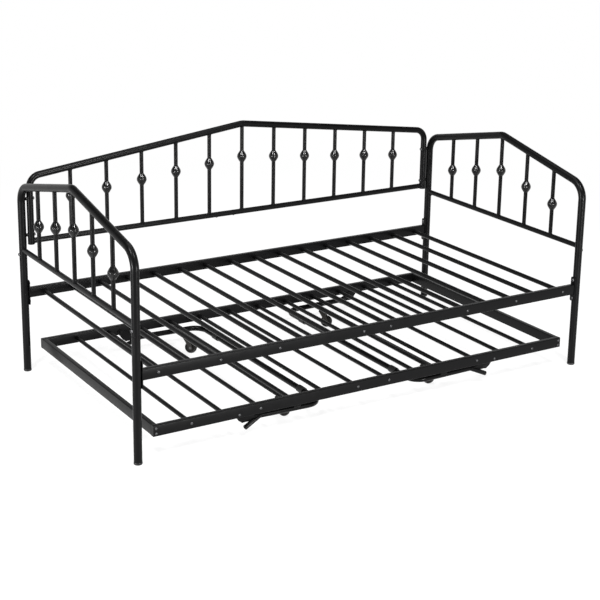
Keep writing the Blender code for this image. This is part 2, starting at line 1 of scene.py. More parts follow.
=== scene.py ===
"""Looks of the steel daybed with a roll-out trundle: fine shapes, finishes, floor, light, camera.

Metres, in the frame of the CAD: +X along the bed, -Y its open front, +Z up.
"""
import math

import bmesh
import bpy
from mathutils import Matrix, Vector, noise


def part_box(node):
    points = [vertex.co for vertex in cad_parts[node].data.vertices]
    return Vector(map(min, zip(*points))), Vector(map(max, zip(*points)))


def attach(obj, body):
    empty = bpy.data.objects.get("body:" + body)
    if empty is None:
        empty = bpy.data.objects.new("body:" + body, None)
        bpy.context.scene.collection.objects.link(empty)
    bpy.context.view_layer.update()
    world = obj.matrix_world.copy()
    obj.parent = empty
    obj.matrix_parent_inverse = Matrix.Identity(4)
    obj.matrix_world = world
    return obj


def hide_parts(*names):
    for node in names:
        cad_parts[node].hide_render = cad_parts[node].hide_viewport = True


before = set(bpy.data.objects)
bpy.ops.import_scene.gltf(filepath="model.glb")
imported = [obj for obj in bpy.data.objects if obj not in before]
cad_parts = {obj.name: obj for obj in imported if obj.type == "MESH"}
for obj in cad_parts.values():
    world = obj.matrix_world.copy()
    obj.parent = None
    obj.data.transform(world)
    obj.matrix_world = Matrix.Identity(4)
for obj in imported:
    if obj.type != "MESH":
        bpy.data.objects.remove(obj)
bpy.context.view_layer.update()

# ---- Facets ----------------------------------------------------------------
TUBE_SIDES = 40
ROD_SIDES = 28
HEAD_SIDES = 40
BEAD_SIDES = 8
BEND_STEP = math.radians(3)
ROUND_STEPS = 6            # round the wider corners
SHARP = math.radians(32)
SEAT_GAP = 0.0003
TIP_R = 0.00005            # ends a turned shape that runs to its axis
EDGE = 0.0006              # chamfer on cut tube ends

# ---- Daybed, as in the CAD --------------------------------------------------
HALF_LENGTH = 0.970
HALF_WIDTH = 0.505
POST_R = 0.0150
LEG_TOP = 0.4615
FOOT_HEIGHT = 0.0090
FOOT_R = 0.0155
FOOT_SECTION = (           # in from the foot's side, up from the floor
    (0.0034, 0), (0.0022, 0.0002), (0.0010, 0.0009), (0.0003, 0.0019), (0, 0.0032),
    (0, FOOT_HEIGHT - 0.0012), (0.0004, FOOT_HEIGHT - 0.0004), (0.0012, FOOT_HEIGHT),
)
SIDE_PEAK_Z = 0.855
SIDE_SLOPE = 0.2125
SIDE_BEND_R = 0.072
PEAK_BEND_R = 0.060
SIDE_RAIL_Z = 0.4995
SIDE_RAIL_R = 0.01025
SIDE_SPINDLE_Y = (-0.332, -0.166, 0.0, 0.166, 0.332)
SIDE_KNOB_DROP = 0.151
PANEL_BOLT_RISE = 0.020
BACK_TUBE_R = 0.01325
BACK_X = 0.935
BACK_PEAK_Z = 0.9045
BACK_SLOPE = 0.128
BACK_BEND_R = 0.048
BACK_RAIL_Z = 0.5303
BACK_RAIL_R = 0.0110
BACK_SPINDLES = 11
BACK_PITCH = 0.1532
BACK_KNOB_Z = 0.766
BACK_KNOB_SLOPE = 0.0973
BACK_SEAM_X = -0.080
BACK_SCREW_X = (-0.120, -0.040)
BACK_BOLT_Z = (0.556, 0.700)
SPINDLE_R = 0.0080
KNOB_R = 0.0200
KNOB_HALF = 0.0240
KNOB_GLOSSY = 0.97         # share of a knob's height with the glossier finish
# Knob from its lower to its upper end: height, and how far it swells.
KNOB_SECTION = (
    (-1.00, 0.00), (-0.97, 0.10), (-0.90, 0.17), (-0.75, 0.38), (-0.58, 0.60), (-0.42, 0.78),
    (-0.27, 0.91), (-0.14, 0.975), (0.00, 1.00), (0.08, 0.99), (0.115, 0.93), (0.14, 0.91),
    (0.165, 0.94), (0.22, 0.93), (0.32, 0.86), (0.45, 0.73), (0.60, 0.56), (0.75, 0.37),
    (0.90, 0.17), (0.97, 0.10), (1.00, 0.00),
)
DECK_RAIL_Z = 0.3234
RAIL_HALF_HEIGHT = 0.0200
RAIL_HALF_DEPTH = 0.0100
RAIL_ROUND = 0.0026
END_PLATE = (0.0030, 0.0260, 0.1000)        # thickness, width, height
PLATE_EDGE = 0.0004
END_PLATE_ROUND = 0.0060
END_PLATE_BOLT_RISE = 0.0370
DECK_SLATS = 16
DECK_SCREW_X = (-0.8925, -0.6545, -0.4165, -0.0595, 0.0595, 0.4165, 0.6545, 0.8925)

# ---- Trundle, as in the CAD -------------------------------------------------
TRUNDLE_BACK = 0.0050
TRUNDLE_RAIL_Z = 0.1037
TRUNDLE_X = 0.9087
TRUNDLE_Y = 0.5060
TRUNDLE_SLATS = 12
TRUNDLE_SCREW_X = (-0.7623, -0.4851, -0.0693, 0.0693, 0.4851, 0.7623)
CORNER_BOLT_RISE = 0.0095
PIVOT_X = 0.5720
PIVOT_Z = 0.0957
PIN_R = 0.0039
PIN_EDGE = 0.0002
PIN_ROOT = 0.0020          # into the rail
NUT_SIDES = 6
NUT_SECTION = ((0.0068, 0), (0.0070, 0.0004), (0.0070, 0.0044), (0.0064, 0.0050))
PIN_OUT = 0.0025           # past the ear, inside the nut
ARM_Y = 0.4747
EAR_Y = (0.4827, 0.4857)
ARM_START = (-0.0160, -0.0305)              # along, up, from the pivot
FOOT_AT = (-0.3620, -0.0357)
FLAT_FROM = 0.085          # the arm is round up to this far from its start
FLAT_LENGTH = 0.062
FLAT_HALF = (0.0016, 0.0118)                # thickness, height
FLAT_STEPS = 14
FOLD_R = 0.0110
FOLD_BEND_R = 0.055
EAR_R = 0.0130
EAR_START, EAR_SWEEP, EAR_STEPS = -30, 180, 24
EAR_INSET = 0.985          # share that the ear's faces keep inside its chamfer
EAR_TAIL = ((-0.085, -0.0305), (-0.070, -0.0395), (-0.022, -0.0430), (-0.008, -0.0325))
STOP_ROOT = (-0.0980, 0.0040, -0.0310)   # along, outward, up
STOP_TIP = (-0.0300, 0.0160, -0.0605)
STOP_R = 0.0090
STOP_BORE_R = 0.0070
STOP_BORE_DEPTH = 0.0220
SLEEVE_R = 0.0140
SLEEVE_EDGE = 0.0014
SLEEVE_BITE = 0.0004       # into the tube it sits on
SLEEVE_LENGTH = 0.040
SLEEVE_INSET = 0.1400
CASTER_X = 0.3300
CASTER_Y = 0.3740
CASTER_BAR = (0.0145, 0.5020, 0.0744, 0.0834)   # half width, half length, low, high
CASTER_ANGLES = {"front_left": -68, "front_right": -71, "rear_left": -40, "rear_right": -37}
WHEEL_R = 0.0250
WHEEL_HALF = 0.0100
WHEEL_TRAIL = 0.0200
WHEEL_SIDES = TUBE_SIDES + 8
WHEEL_SECTION = (          # radius, distance from the side: hub to tread
    (0.0062, 0.0006), (0.0085, 0.0006), (0.0092, 0.0030), (0.0172, 0.0034), (0.0180, 0.0008),
    (0.0205, 0.0002), (0.0226, 0.0010), (0.0242, 0.0032), (0.0249, 0.0062), (WHEEL_R, WHEEL_HALF),
)
HUB_R = 0.0064
HUB_EDGE = (0.0004, 0.0008)                 # in from its side, out past the wheel
AXLE_SECTION = ((0.0050, -0.0004), (0.0050, 0.0006), (0.0042, 0.0013), (0.0026, 0.0015))
SWIVEL_SECTION = ((0.0105, 0), (0.0130, 0.0004), (0.0134, 0.0016), (0.0128, 0.0026),
                  (0.0110, 0.0030))
CROWN_X = (-0.0140, 0.0160)
CROWN_DROP = (0.0060, 0.0028)               # its lower and upper face, below the fork's top
CROWN_ROUND = 0.0045
CROWN_EDGE = 0.0008
CHEEK_IN = 0.0120
CHEEK_OUT = 0.0145
CHEEK_X = (-0.0120, 0.0140)
CHEEK_DROP = 0.0040
BOSS_R = 0.0085
BOSS_START, BOSS_SWEEP, BOSS_STEPS = 25, -225, 24

# ---- Heads of bolts and screws, and weld beads -------------------------------
BOLT = (0.0065, 0.0045)    # radius, height
SCREW = (0.00475, 0.0022)
SCREW_SUNK = 0.0006        # into a round tube
# Shares of a head's radius and height: up its side and dome, then down into its recess.
HEAD_SECTION = ((0.93, -0.10), (0.93, 0.0), (1.0, 0.08), (1.0, 0.38), (0.95, 0.60), (0.84, 0.82),
                (0.70, 0.95), (0.62, 1.0))
RECESS_SECTION = ((1.0, 1.0), (0.94, 0.35))
CROSS_ARM, CROSS_HALF_WIDE, HEX_HALF_WIDE = 0.58, 0.13, 0.46    # shares of the head's radius
BEAD_R = 0.0017
BEAD_LUMP, BEAD_GRAIN = 0.35, 600

# ---- Finishes: scales of their grain, and bumps as (distance, strength) ------
CLOUDS, SHEEN = 9, 38
SCUFFS, MOULD_SHEEN, MOULD_GRAIN = 140, 220, 1500
STREAKS, STEEL_SHEEN, STEEL_GRAIN = 260, 500, 2200
RUBBED = (0.55, 0.53, 0.62)                 # most wear; pointiness where it starts and is full
SCUFFED = (0.45, 0.75)                      # noise where a scuff starts and is full
PEEL_BUMP, MOULD_BUMP, STEEL_BUMP = (0.0002, 0.05), (0.0001, 0.3), (0.00005, 0.3)

X_AXIS, Y_AXIS, Z_AXIS = Vector((1, 0, 0)), Vector((0, 1, 0)), Vector((0, 0, 1))
CORNERS = ("front_left", "front_right", "rear_left", "rear_right")


# ---- Finishes ----------------------------------------------------------------
def node_tree(name):
    material = bpy.data.materials.new(name)
    material.use_nodes = True
    tree = material.node_tree
    return material, tree, tree.nodes["Principled BSDF"]


def add_noise(tree, scale, detail, roughness=0.5):
    where = tree.nodes.new("ShaderNodeTexCoord")
    cloud = tree.nodes.new("ShaderNodeTexNoise")
    cloud.inputs["Scale"].default_value = scale
    cloud.inputs["Detail"].default_value = detail
    cloud.inputs["Roughness"].default_value = roughness
    tree.links.new(where.outputs["Object"], cloud.inputs["Vector"])
    return cloud.outputs["Fac"]


def add_range(tree, source, low, high, start=0.3, end=0.7):
    spread = tree.nodes.new("ShaderNodeMapRange")
    spread.inputs["From Min"].default_value = start
    spread.inputs["From Max"].default_value = end
    spread.inputs["To Min"].default_value = low
    spread.inputs["To Max"].default_value = high
    tree.links.new(source, spread.inputs["Value"])
    return spread.outputs["Result"]


def add_mix(tree, factor, first, second):
    """Mix two colours; each is a colour or the output of another node."""
    mix = tree.nodes.new("ShaderNodeMix")
    mix.data_type = "RGBA"
    tree.links.new(factor, mix.inputs["Factor"])
    for socket, colour in ((mix.inputs["A"], first), (mix.inputs["B"], second)):
        if isinstance(colour, tuple):
            socket.default_value = (*colour, 1)
        else:
            tree.links.new(colour, socket)
    return mix.outputs["Result"]


def add_bump(tree, shader, height, distance, strength):
    bump = tree.nodes.new("ShaderNodeBump")
    bump.inputs["Distance"].default_value = distance
    bump.inputs["Strength"].default_value = strength
    tree.links.new(height, bump.inputs["Height"])
    tree.links.new(bump.outputs["Normal"], shader.inputs["Normal"])


def make_paint(name, dark, light, worn, roughness, specular, peel):
    """Powder coat: orange peel, cloudy tone and sheen, and faintly worn edges."""
    material, tree, shader = node_tree(name)
    tone = add_mix(tree, add_range(tree, add_noise(tree, CLOUDS, 3), 0, 1), dark, light)
    edge = tree.nodes.new("ShaderNodeNewGeometry").outputs["Pointiness"]
    rubbed = add_range(tree, edge, 0, *RUBBED)
    tree.links.new(add_mix(tree, rubbed, tone, worn), shader.inputs["Base Color"])
    low, high = roughness
    tree.links.new(add_range(tree, add_noise(tree, SHEEN, 4), low, high),
                   shader.inputs["Roughness"])
    shader.inputs["Specular IOR Level"].default_value = specular
    add_bump(tree, shader, add_noise(tree, peel, 2), *PEEL_BUMP)
    return material


def make_plastic(name, dark, light, roughness, specular):
    """Moulded plastic: fine spark-eroded grain and scuffs."""
    material, tree, shader = node_tree(name)
    scuff = add_range(tree, add_noise(tree, SCUFFS, 6, 0.7), 0, 1, *SCUFFED)
    tree.links.new(add_mix(tree, scuff, dark, light), shader.inputs["Base Color"])
    low, high = roughness
    tree.links.new(add_range(tree, add_noise(tree, MOULD_SHEEN, 3), low, high),
                   shader.inputs["Roughness"])
    shader.inputs["Specular IOR Level"].default_value = specular
    add_bump(tree, shader, add_noise(tree, MOULD_GRAIN, 2), *MOULD_BUMP)
    return material


def make_metal(name, dark, light, roughness, metallic):
    """Plated steel: streaky tone and sheen."""
    material, tree, shader = node_tree(name)
    tone = add_range(tree, add_noise(tree, STREAKS, 5, 0.65), 0, 1)
    tree.links.new(add_mix(tree, tone, dark, light), shader.inputs["Base Color"])
    low, high = roughness
    tree.links.new(add_range(tree, add_noise(tree, STEEL_SHEEN, 3), low, high),
                   shader.inputs["Roughness"])
    shader.inputs["Metallic"].default_value = metallic
    add_bump(tree, shader, add_noise(tree, STEEL_GRAIN, 2), *STEEL_BUMP)
    return material


PAINT = make_paint("satin_black_powder_coat", (0.0010, 0.0010, 0.0011), (0.0018, 0.0018, 0.0019),
                   (0.008, 0.008, 0.0085), (0.28, 0.34), 0.11, 650)
KNOB_PAINT = make_paint("gloss_black_knob", (0.0012, 0.0012, 0.0013), (0.0022, 0.0022, 0.0023),
                        (0.010, 0.010, 0.0105), (0.16, 0.22), 0.36, 900)
PLASTIC = make_plastic("black_moulded_plastic", (0.006, 0.006, 0.006), (0.012, 0.012, 0.012),
                       (0.42, 0.55), 0.30)
TYRE = make_plastic("dark_wheel_plastic", (0.004, 0.0035, 0.003), (0.009, 0.008, 0.007),
                    (0.34, 0.50), 0.20)
CASTER_STEEL = make_metal("black_plated_steel", (0.010, 0.009, 0.008), (0.026, 0.023, 0.020),
                          (0.30, 0.45), 0.55)
SCREW_STEEL = make_metal("dark_zinc", (0.055, 0.055, 0.057), (0.13, 0.13, 0.134),
                         (0.30, 0.46), 0.80)


# ---- Shapes, all added to one bmesh -----------------------------------------
def ring_faces(shape, lower, upper):
    count = len(lower)
    for i in range(count):
        j = (i + 1) % count
        shape.faces.new((lower[i], lower[j], upper[j], upper[i]))


def loft(shape, sections):
    """Skin a list of point rings, and close both ends."""
    rings = [[shape.verts.new(p) for p in section] for section in sections]
    for lower, upper in zip(rings, rings[1:]):
        ring_faces(shape, lower, upper)
    shape.faces.new(rings[0][::-1])
    shape.faces.new(rings[-1])


def across(direction):
    """Two unit vectors square to a direction."""
    direction = direction.normalized()
    start = Z_AXIS if abs(direction.z) < 0.9 else X_AXIS
    side = start.cross(direction).normalized()
    return side, direction.cross(side)


def circle(centre, side, up, radius, sides):
    angles = [2 * math.pi * k / sides for k in range(sides)]
    return [centre + (side * math.cos(a) + up * math.sin(a)) * radius for a in angles]


def turned(shape, base, axis, profile, sides=ROD_SIDES):
    """Turn (radius, height) points about an axis from its base."""
    base, axis = Vector(base), Vector(axis).normalized()
    side, up = across(axis)
    loft(shape, [circle(base + axis * h, side, up, max(r, TIP_R), sides) for r, h in profile])


def rod(shape, start, end, radius, sides=ROD_SIDES, edge=EDGE):
    start, end = Vector(start), Vector(end)
    length = (end - start).length
    turned(shape, start, end - start, [
        (radius - edge, 0), (radius, edge), (radius, length - edge), (radius - edge, length)],
        sides)


def rounded_path(corners, radii):
    """Replace each inner corner of a path by an arc of its radius."""
    path = [Vector(corners[0])]
    for before, corner, after, radius in zip(corners, corners[1:], corners[2:], radii):
        before, corner, after = Vector(before), Vector(corner), Vector(after)
        back = (before - corner).normalized()
        ahead = (after - corner).normalized()
        turn = math.pi - back.angle(ahead)
        reach = radius * math.tan(turn / 2)
        centre = corner + (back + ahead).normalized() * radius / math.cos(turn / 2)
        first = corner + back * reach - centre
        axis = first.cross(corner + ahead * reach - centre).normalized()
        steps = max(3, math.ceil(turn / BEND_STEP))
        path += [centre + Matrix.Rotation(turn * i / steps, 3, axis) @ first
                 for i in range(steps + 1)]
    return path + [Vector(corners[-1])]


def bent_tube(shape, path, normal, radius, sides=TUBE_SIDES, edge=EDGE):
    """Sweep a circle along a flat path whose plane has this normal."""
    first = (path[1] - path[0]).normalized()
    last = (path[-1] - path[-2]).normalized()
    path = [path[0], path[0] + first * edge] + path[1:-1] + [path[-1] - last * edge, path[-1]]
    sections = []
    for i, point in enumerate(path):
        arrive = (point - path[max(i - 1, 0)]).normalized() if i else first
        leave = (path[i + 1] - point).normalized() if i + 1 < len(path) else last
        side = normal.cross(arrive + leave).normalized()
        mitre = 1 / side.dot(normal.cross(leave))
        wide = radius - edge if i in (0, len(path) - 1) else radius
        sections.append([point + (side * math.cos(a) * mitre + normal * math.sin(a)) * wide
                         for a in (2 * math.pi * k / sides for k in range(sides))])
    loft(shape, sections)


def rounded_box(shape, low, high, radius, axis, edge=EDGE, steps=4):
    """Box with its four edges along one axis rounded, and its ends chamfered."""
    low, high = Vector(low), Vector(high)
    a, b = [i for i in range(3) if i != axis]
    if axis == 1:
        a, b = b, a
    outline = []
    for corner, (sa, sb) in enumerate(((1, 1), (-1, 1), (-1, -1), (1, -1))):
        ca = (high[a] - radius) if sa > 0 else (low[a] + radius)
        cb = (high[b] - radius) if sb > 0 else (low[b] + radius)
        for i in range(steps + 1):
            turn = math.pi / 2 * (corner + i / steps)
            outline.append((ca, cb, math.cos(turn), math.sin(turn)))
    sections = []
    for along, inset in ((low[axis], edge), (low[axis] + edge, 0),
                         (high[axis] - edge, 0), (high[axis], edge)):
        section = []
        for ca, cb, c, s in outline:
            point = Vector((0, 0, 0))
            point[axis] = along
            point[a] = ca + c * (radius - inset)
            point[b] = cb + s * (radius - inset)
            section.append(point)
        sections.append(section)
    loft(shape, sections)


def cross_reach(angle, radius):
    """Outline of a cross recess: distance from its middle at this angle."""
    long_arm, half_wide = radius * CROSS_ARM, radius * CROSS_HALF_WIDE
    folded = abs((angle + math.pi / 4) % (math.pi / 2) - math.pi / 4)
    if math.tan(folded) <= half_wide / long_arm:
        return long_arm / math.cos(folded)
    return half_wide / math.sin(folded)


def hex_reach(angle, radius):
    """Outline of a hexagon socket: distance from its middle at this angle."""
    folded = (angle + math.pi / 6) % (math.pi / 3) - math.pi / 6
    return radius * HEX_HALF_WIDE / math.cos(folded)


def head(shape, base, axis, size, reach):
    """Domed head of a bolt or screw with a sunk recess, standing on its base point."""
    radius, height = size
    base, axis = Vector(base), Vector(axis).normalized()
    side, up = across(axis)
    angles = [2 * math.pi * (k + 0.5) / HEAD_SIDES for k in range(HEAD_SIDES)]
    sections = []
    for r, h in HEAD_SECTION:
        sections.append([base + axis * h * height
                         + (side * math.cos(a) + up * math.sin(a)) * radius * r for a in angles])
    for share, h in RECESS_SECTION:
        sections.append([base + axis * h * height
                         + (side * math.cos(a) + up * math.sin(a)) * reach(a, radius) * share
                         for a in angles])
    loft(shape, sections)


def bead(shape, centre, rod_axis, rod_r, tube_axis, tube_r):
    """Weld bead where a rod meets a tube square on, along the saddle between them."""
    rod_axis, tube_axis = rod_axis.normalized(), tube_axis.normalized()
    other = rod_axis.cross(tube_axis).normalized()
    spine = []
    for k in range(ROD_SIDES):
        a = 2 * math.pi * k / ROD_SIDES
        off = rod_r * math.sin(a)
        depth = math.sqrt(max(tube_r ** 2 - off ** 2, 0))
        spine.append((centre + tube_axis * rod_r * math.cos(a) + other * off + rod_axis * depth,
                      (tube_axis * math.cos(a) + other * math.sin(a)).normalized()))
    rings = []
    for point, out in spine:
        lump = BEAD_R * (1 + BEAD_LUMP * noise.noise(point * BEAD_GRAIN))
        rings.append([shape.verts.new(point + (out * math.cos(b) + rod_axis * math.sin(b)) * lump)
                      for b in (2 * math.pi * i / BEAD_SIDES for i in range(BEAD_SIDES))])
    for lower, upper in zip(rings, rings[1:] + rings[:1]):
        ring_faces(shape, lower, upper)


def spindle(shape, bottom, top, knob):
    """Rod along Z from bottom to top, with a turned knob."""
    height = knob.z - bottom.z
    profile = [(SPINDLE_R, 0)]
    profile += [(SPINDLE_R + (KNOB_R - SPINDLE_R) * wide, height + KNOB_HALF * up)
                for up, wide in KNOB_SECTION]
    profile.append((SPINDLE_R, top.z - bottom.z))
    older = len(shape.faces)
    turned(shape, bottom, Z_AXIS, profile)
    shape.faces.ensure_lookup_table()
    for face in shape.faces[older:]:
        if abs(face.calc_center_median().z - knob.z) < KNOB_HALF * KNOB_GLOSSY:
            face.material_index = 1


# ---- Pieces -------------------------------------------------------------------
def finish_mesh(name, shape, *materials):
    mesh = bpy.data.meshes.new(name)
    bmesh.ops.recalc_face_normals(shape, faces=shape.faces)
    shape.to_mesh(mesh)
    shape.free()
    for material in materials:
        mesh.materials.append(material)
    mesh.shade_smooth()
    mesh.set_sharp_from_angle(angle=SHARP)
    return mesh


def add_piece(name, mesh, body, nodes=(), place=None):
    thing = bpy.data.objects.new(name, mesh)
    bpy.context.scene.collection.objects.link(thing)
    if place is not None:
        thing.matrix_world = place
    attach(thing, body)
    if nodes:
        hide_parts(*nodes)


def middle(node):
    low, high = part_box(node)
    return (low + high) / 2


def build_legs():
    leg, foot = bmesh.new(), bmesh.new()
    rod(leg, (0, 0, FOOT_HEIGHT + SEAT_GAP), (0, 0, LEG_TOP), POST_R, TUBE_SIDES)
    leg = finish_mesh("leg", leg, PAINT)
    turned(foot, (0, 0, 0), Z_AXIS, [(FOOT_R - inset, up) for inset, up in FOOT_SECTION],
           TUBE_SIDES)
    foot = finish_mesh("foot", foot, PLASTIC)
    for corner in CORNERS:
        place = middle(f"leg_{corner}")
        place = Matrix.Translation((place.x, place.y, 0))
        add_piece(f"post_{corner}", leg, "daybed", [f"leg_{corner}"], place)
        add_piece(f"glide_{corner}", foot, "daybed", [f"foot_cap_{corner}"], place)


def build_side_panels():
    shape, bolts = bmesh.new(), bmesh.new()
    bottom = LEG_TOP + SEAT_GAP
    corner_z = SIDE_PEAK_Z - SIDE_SLOPE * HALF_WIDTH
    path = rounded_path([(0, -HALF_WIDTH, bottom), (0, -HALF_WIDTH, corner_z),
                         (0, 0, SIDE_PEAK_Z), (0, HALF_WIDTH, corner_z),
                         (0, HALF_WIDTH, bottom)], [SIDE_BEND_R, PEAK_BEND_R, SIDE_BEND_R])
    bent_tube(shape, path, X_AXIS, POST_R)
    rod(shape, (0, -HALF_WIDTH, SIDE_RAIL_Z), (0, HALF_WIDTH, SIDE_RAIL_Z), SIDE_RAIL_R)
    for sign in (-1, 1):
        post = Vector((0, sign * HALF_WIDTH, SIDE_RAIL_Z))
        bead(shape, post, Vector((0, -sign, 0)), SIDE_RAIL_R, Z_AXIS, POST_R)
        head(bolts, (POST_R, sign * HALF_WIDTH, LEG_TOP + PANEL_BOLT_RISE), X_AXIS, BOLT,
             hex_reach)
    for y in SIDE_SPINDLE_Y:
        top = SIDE_PEAK_Z - SIDE_SLOPE * max(abs(y), PEAK_BEND_R * SIDE_SLOPE / 2)
        spindle(shape, Vector((0, y, SIDE_RAIL_Z)), Vector((0, y, top)),
                Vector((0, y, top - SIDE_KNOB_DROP)))
        slope = Vector((0, 1, 0 if y == 0 else -math.copysign(SIDE_SLOPE, y)))
        bead(shape, Vector((0, y, SIDE_RAIL_Z)), Z_AXIS, SPINDLE_R, Y_AXIS, SIDE_RAIL_R)
        bead(shape, Vector((0, y, top)), -Z_AXIS, SPINDLE_R, slope, POST_R)
    shape = finish_mesh("side_panel", shape, PAINT, KNOB_PAINT)
    bolts = finish_mesh("side_bolts", bolts, SCREW_STEEL)
    for side, sign in (("right", 1), ("left", -1)):
        place = Matrix.Translation((sign * HALF_LENGTH, 0, 0))
        place = place @ Matrix.Rotation(0 if sign > 0 else math.pi, 4, "Z")
        add_piece(f"arch_{side}", shape, "daybed", [f"side_panel_{side}"],
                  place)
        add_piece(f"arch_bolts_{side}", bolts, "daybed", place=place)


def build_back_panel():
    y = HALF_WIDTH
    corner_z = BACK_PEAK_Z - BACK_SLOPE * BACK_X
    foot_z = BACK_RAIL_Z - BACK_TUBE_R
    seam = Vector((BACK_SEAM_X, y, BACK_PEAK_Z + BACK_SLOPE * BACK_SEAM_X))
    slope = Vector((1, 0, BACK_SLOPE)).normalized()
    paths = {
        "left": [(-BACK_X, y, foot_z), (-BACK_X, y, corner_z), seam],
        "right": [seam + slope * SEAT_GAP, (0, y, BACK_PEAK_Z), (BACK_X, y, corner_z),
                  (BACK_X, y, foot_z)]}
    radii = {"left": [BACK_BEND_R], "right": [PEAK_BEND_R, BACK_BEND_R]}
    reach = BACK_PITCH * (BACK_SPINDLES - 1) / 2
    rows = [-reach + BACK_PITCH * i for i in range(BACK_SPINDLES)]
    for side, sign in (("left", -1), ("right", 1)):
        shape, bolts = bmesh.new(), bmesh.new()
        bent_tube(shape, rounded_path(paths[side], radii[side]), Y_AXIS, BACK_TUBE_R)
        seam_x = BACK_SEAM_X + (SEAT_GAP if side == "right" else 0)
        end_x = sign * BACK_X
        rod(shape, (seam_x, y, BACK_RAIL_Z), (end_x, y, BACK_RAIL_Z), BACK_RAIL_R)
        bead(shape, Vector((end_x, y, BACK_RAIL_Z)), Vector((-sign, 0, 0)), BACK_RAIL_R, Z_AXIS,
             BACK_TUBE_R)
        for x in rows:
            if (x - BACK_SEAM_X) * sign < 0:
                continue
            top = BACK_PEAK_Z - BACK_SLOPE * max(abs(x), PEAK_BEND_R * BACK_SLOPE / 2)
            knob = BACK_KNOB_Z - BACK_KNOB_SLOPE * abs(x)
            spindle(shape, Vector((x, y, BACK_RAIL_Z)), Vector((x, y, top)), Vector((x, y, knob)))
            along = Vector((1, 0, 0 if abs(x) < BACK_PITCH / 2 else -math.copysign(BACK_SLOPE, x)))
            bead(shape, Vector((x, y, BACK_RAIL_Z)), Z_AXIS, SPINDLE_R, X_AXIS, BACK_RAIL_R)
            bead(shape, Vector((x, y, top)), -Z_AXIS, SPINDLE_R, along, BACK_TUBE_R)
        for z in BACK_BOLT_Z:
            head(bolts, (end_x - sign * BACK_TUBE_R, y, z), (-sign, 0, 0), BOLT, hex_reach)
            rod(shape, (end_x, y, z), (sign * (HALF_LENGTH - POST_R - SEAT_GAP), y, z), BOLT[0])
        screw_x = BACK_SCREW_X[0 if side == "left" else 1]
        head(bolts, (screw_x, y, BACK_RAIL_Z - BACK_RAIL_R + SCREW_SUNK), -Z_AXIS, SCREW,
             cross_reach)
        add_piece(f"back_{side}", finish_mesh(f"back_{side}", shape, PAINT, KNOB_PAINT), "daybed",
                  [f"back_panel_{side}"])
        add_piece(f"back_bolts_{side}", finish_mesh(f"back_bolts_{side}", bolts, SCREW_STEEL),
                  "daybed")


def build_deck():
    plate_x = HALF_LENGTH - POST_R - SEAT_GAP
    thick, wide, tall = END_PLATE
    rail, bolts, screws = bmesh.new(), bmesh.new(), bmesh.new()
    inner = plate_x - thick
    rounded_box(rail, (-inner, -RAIL_HALF_DEPTH, -RAIL_HALF_HEIGHT),
                (inner, RAIL_HALF_DEPTH, RAIL_HALF_HEIGHT), RAIL_ROUND, 0)
    for sign in (-1, 1):
        low_x, high_x = sorted((sign * inner, sign * plate_x))
        rounded_box(rail, (low_x, -wide / 2, -tall / 2), (high_x, wide / 2, tall / 2),
                    END_PLATE_ROUND, 0, PLATE_EDGE, ROUND_STEPS)
        for z in (-END_PLATE_BOLT_RISE, END_PLATE_BOLT_RISE):
            head(bolts, (sign * inner, 0, z), (-sign, 0, 0), BOLT, hex_reach)
    for x in DECK_SCREW_X:
        head(screws, (x, -RAIL_HALF_DEPTH, 0), -Y_AXIS, SCREW, cross_reach)
    rail = finish_mesh("deck_rail", rail, PAINT)
    bolts = finish_mesh("deck_bolts", bolts, SCREW_STEEL)
    screws = finish_mesh("deck_screws", screws, SCREW_STEEL)
    for face, sign in (("front", -1), ("rear", 1)):
        place = Matrix.Translation((0, sign * HALF_WIDTH, DECK_RAIL_Z))
        place = place @ Matrix.Rotation(0 if sign < 0 else math.pi, 4, "Z")
        add_piece(f"deck_beam_{face}", rail, "daybed",
                  [f"deck_rail_{face}"], place)
        add_piece(f"deck_bolts_{face}", bolts, "daybed", place=place)
        add_piece(f"deck_screws_{face}", screws, "daybed", place=place)
    build_slats("deck_slat", DECK_SLATS, "daybed")


def build_slats(prefix, count, body):
    """Fine round slats, each in the box of its CAD node."""
    low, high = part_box(f"{prefix}_01")
    radius, reach = (high.x - low.x) / 2, (high.y - low.y) / 2
    shape = bmesh.new()
    rod(shape, (0, -reach, 0), (0, reach, 0), radius)
    mesh = finish_mesh(prefix, shape, PAINT)
    for i in range(1, count + 1):
        node = f"{prefix}_{i:02d}"
        add_piece(node.replace("slat", "bar"), mesh, body, [node],
                  Matrix.Translation(middle(node)))


